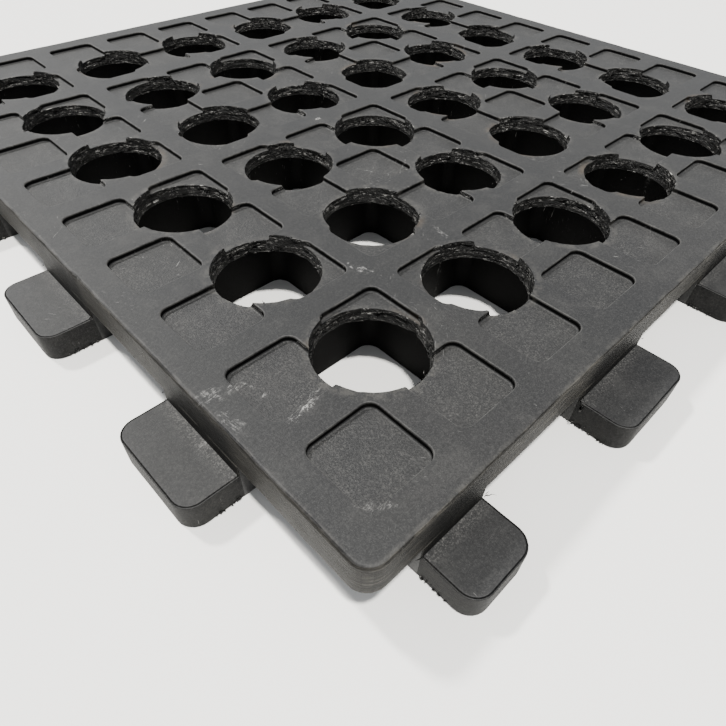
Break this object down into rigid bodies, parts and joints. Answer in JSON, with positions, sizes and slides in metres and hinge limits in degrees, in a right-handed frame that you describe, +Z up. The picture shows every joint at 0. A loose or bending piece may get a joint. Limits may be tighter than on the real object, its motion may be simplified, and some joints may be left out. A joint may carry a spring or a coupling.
{
  "type": "paddock grid tile",
  "caption": "Square ground grid tile in dark recycled plastic, with a recessed anti-slip top, round drain holes over open square cells, and flat interlocking tabs on its sides.",
  "frame": {"origin": "centre of the tile on its underside, at ground level", "axes": "+Z up out of the top face; X and Y run along the tile's sides. The tile looks the same after each quarter turn about Z. The picture's near corner is at -X, -Y."},
  "size_m": [0.5496, 0.5496, 0.041],
  "materials": {
    "recycled_plastic": "matte, fine grained, scuffed"
  },
  "bodies": {
    "root": {"grid_tile": "recycled_plastic"}
  },
  "joints": []
}
